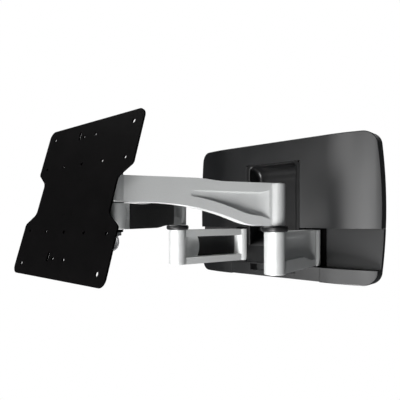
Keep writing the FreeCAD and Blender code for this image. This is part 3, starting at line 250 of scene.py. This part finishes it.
def dull_chrome():
    """Dull chrome finish of the knob."""
    surface = Surface("dull_chrome", (0.82, 0.82, 0.83), 0.55, 0.26)
    surface.vary_color(surface.noise(9 * MM, 3), 0.06)
    surface.vary_roughness(surface.noise(1.5 * MM, 3, (6, 1, 1)), 0.06)
    surface.bump([(surface.noise(0.4 * MM, 2, (6, 1, 1)), 0.01 * MM, 0.3)])
    return surface.material


MATERIALS = {
    "cover_black": gloss_black(),
    "silver": cast_silver(),
    "black_steel": powder_black(),
    "zinc": zinc_plate(),
    # This also colours the black covers on the arms' inner faces and in the links' cavities: painted
    # shade, dark parts standing in for the shadow there.
    "collar_black": black_acetal_and_painted_shade(),
    "bush": natural_acetal(),
    "knob": dull_chrome(),
}
OWN_MATERIALS = {
    "recess_liner": liner_black(),
    "wall_plate": pressed_black(),
}


def material_of(node):
    """A node's own material where it has one, otherwise the material of its slot."""
    return OWN_MATERIALS.get(node, MATERIALS[SLOTS[node]])


# ---- finished meshes -------------------------------------------------------------------------

WELD_DISTANCE = 0.002 * MM
FLAT_ANGLE = math.radians(0.4)
SHARP_ANGLE = math.radians(35)
CASTING_EDGE = 1.0 * MM
SMALL_EDGE = 0.5 * MM
EDGE_SEGMENTS = 2


def clean_mesh(mesh):
    """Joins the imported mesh's split corners and merges the flat triangles into whole faces."""
    work = bmesh.new()
    work.from_mesh(mesh)
    bmesh.ops.remove_doubles(work, verts=work.verts, dist=WELD_DISTANCE)
    bmesh.ops.dissolve_degenerate(work, edges=work.edges, dist=WELD_DISTANCE)
    bmesh.ops.dissolve_limit(work, angle_limit=FLAT_ANGLE, verts=work.verts, edges=work.edges)
    work.to_mesh(mesh)
    work.free()


def shade(mesh):
    """Smooth faces, with the edges over the sharp angle kept sharp."""
    work = bmesh.new()
    work.from_mesh(mesh)
    for face in work.faces:
        face.smooth = True
    for edge in work.edges:
        edge.smooth = edge.calc_face_angle(math.pi) < SHARP_ANGLE
    work.to_mesh(mesh)
    work.free()


def apply_modifiers(piece):
    """Replaces a piece's mesh with the result of its modifiers."""
    bpy.context.view_layer.update()
    evaluated = piece.evaluated_get(bpy.context.evaluated_depsgraph_get())
    finished = bpy.data.meshes.new_from_object(evaluated)
    piece.modifiers.clear()
    piece.data = finished


def softened(node, width):
    """Replaces a CAD node with a copy whose sharp edges have a small radius."""
    source = NODES[node]
    mesh = source.data.copy()
    clean_mesh(mesh)
    piece = bpy.data.objects.new(f"{node}_finished", mesh)
    scene.collection.objects.link(piece)
    bevel = piece.modifiers.new("edge_radius", "BEVEL")
    bevel.width = width
    bevel.segments = EDGE_SEGMENTS
    bevel.limit_method = "ANGLE"
    bevel.angle_limit = SHARP_ANGLE
    bevel.miter_outer = "MITER_ARC"
    apply_modifiers(piece)
    shade(piece.data)
    weighted = piece.modifiers.new("flat_faces", "WEIGHTED_NORMAL")
    weighted.keep_sharp = True
    apply_modifiers(piece)
    piece.data.materials.clear()
    piece.data.materials.append(material_of(node))
    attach(piece, source["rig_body"])
    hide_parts(node)
    return piece


# ---- studio ----------------------------------------------------------------------------------

ROOM_RADIUS = 9
FLOOR_RADIUS = 5
# Low enough that a camera looking up at the mount from below stays above the floor.
FLOOR_DROP = 1.6
WORLD_TINT = (0.9, 0.95, 1.0)
WORLD_STRENGTH = 0.06

# Name, azimuth and elevation in degrees, distance, width and height in metres, power in watts and
# roll in degrees. Azimuth 0 is +X and 90 is +Y.
LIGHTS = (
    ("wide", -98, -1, 2.2, 2.3, 1.86, 11, 35),
    ("main", -96, -3, 2.15, 1.9, 1.6, 33, 35),
    ("right_wing", -62, -2, 2.2, 0.9, 1.7, 25, 0),
    ("arm_key", -76, -58, 2.4, 1.1, 1.1, 140, 0),
    ("behind", 175, 56, 2.4, 1.6, 1.6, 40, 0),
    ("rear_fill", 100, 12, 2.6, 1.6, 1.6, 16, 0),
)
# This light is seen in reflections, and gives no diffuse light.
GLOSS_ONLY_LIGHT = "right_wing"

SENSOR_WIDTH_MM = 36
LENS_MM = 37.8
LENS_SHIFT = 0.0507
CAMERA_PLACE = (0.5285, -0.8587, -0.0237)
# Degrees from +Y towards -X.
CAMERA_HEADING = 42.72
CAMERA_NEAR_CLIP = 0.02


def glow(name, color, strength):
    """A material that only gives off light."""
    material = bpy.data.materials.new(name)
    material.use_nodes = True
    nodes = material.node_tree.nodes
    nodes.remove(nodes["Principled BSDF"])
    emission = nodes.new("ShaderNodeEmission")
    emission.inputs["Color"].default_value = (*color, 1)
    emission.inputs["Strength"].default_value = strength
    material.node_tree.links.new(emission.outputs["Emission"], nodes["Material Output"].inputs["Surface"])
    return material


def stage_mesh(name, build, material):
    """A backdrop that the camera sees, and that neither lights nor shades the mount."""
    mesh = bpy.data.meshes.new(name)
    work = bmesh.new()
    build(work)
    work.to_mesh(mesh)
    work.free()
    mesh.materials.append(material)
    thing = bpy.data.objects.new(name, mesh)
    scene.collection.objects.link(thing)
    thing.visible_diffuse = False
    thing.visible_glossy = False
    thing.visible_transmission = False
    thing.visible_shadow = False
    return thing


def build_room(work):
    """A sphere all round the mount."""
    bmesh.ops.create_uvsphere(work, u_segments=48, v_segments=24, radius=ROOM_RADIUS)


def build_floor(work):
    """A flat disc."""
    bmesh.ops.create_circle(work, cap_ends=True, segments=96, radius=FLOOR_RADIUS)


def soft_box(name, azimuth, elevation, distance, width, height, power, roll):
    """An area light that faces the mount from the given direction."""
    data = bpy.data.lights.new(name, "AREA")
    data.shape = "RECTANGLE"
    data.size = width
    data.size_y = height
    data.energy = power
    light = bpy.data.objects.new(name, data)
    scene.collection.objects.link(light)
    middle = (Vector(cad_box[0]) + Vector(cad_box[1])) / 2
    level = math.cos(math.radians(elevation))
    direction = Vector((
        level * math.cos(math.radians(azimuth)),
        level * math.sin(math.radians(azimuth)),
        math.sin(math.radians(elevation)),
    ))
    light.location = middle + direction * distance
    aim = (-direction).to_track_quat("-Z", "Y")
    light.rotation_euler = aim.to_euler()
    light.rotation_euler.rotate_axis("Z", math.radians(roll))
    light.visible_camera = False
    light.visible_diffuse = name != GLOSS_ONLY_LIGHT


def make_world():
    """A faint even light from all sides."""
    world = bpy.data.worlds.new("dim_room")
    scene.world = world
    world.use_nodes = True
    background = world.node_tree.nodes["Background"]
    background.inputs["Color"].default_value = (*WORLD_TINT, 1)
    background.inputs["Strength"].default_value = WORLD_STRENGTH


def make_camera():
    """Level camera to the right of the mount, looking past the screen plate to the wall unit."""
    data = bpy.data.cameras.new("camera")
    data.sensor_width = SENSOR_WIDTH_MM
    data.lens = LENS_MM
    data.shift_y = LENS_SHIFT
    data.clip_start = CAMERA_NEAR_CLIP
    camera = bpy.data.objects.new("camera", data)
    scene.collection.objects.link(camera)
    camera.location = CAMERA_PLACE
    camera.rotation_euler = (math.radians(90), 0, math.radians(CAMERA_HEADING))
    scene.camera = camera


white = glow("studio_white", (1, 1, 1), 1.0)
stage_mesh("room", build_room, white)
floor = stage_mesh("floor", build_floor, white)
floor.location.z = -FLOOR_DROP
for light_values in LIGHTS:
    soft_box(*light_values)
make_world()
make_camera()
scene.view_settings.view_transform = "Standard"

for name in SLOTS:
    piece = softened(name, CASTING_EDGE if name.startswith("upper_arm") else SMALL_EDGE)
    # The arms are left out of reflections, because their mirror image darkens the glossy cover.
    piece.visible_glossy = "arm" not in name
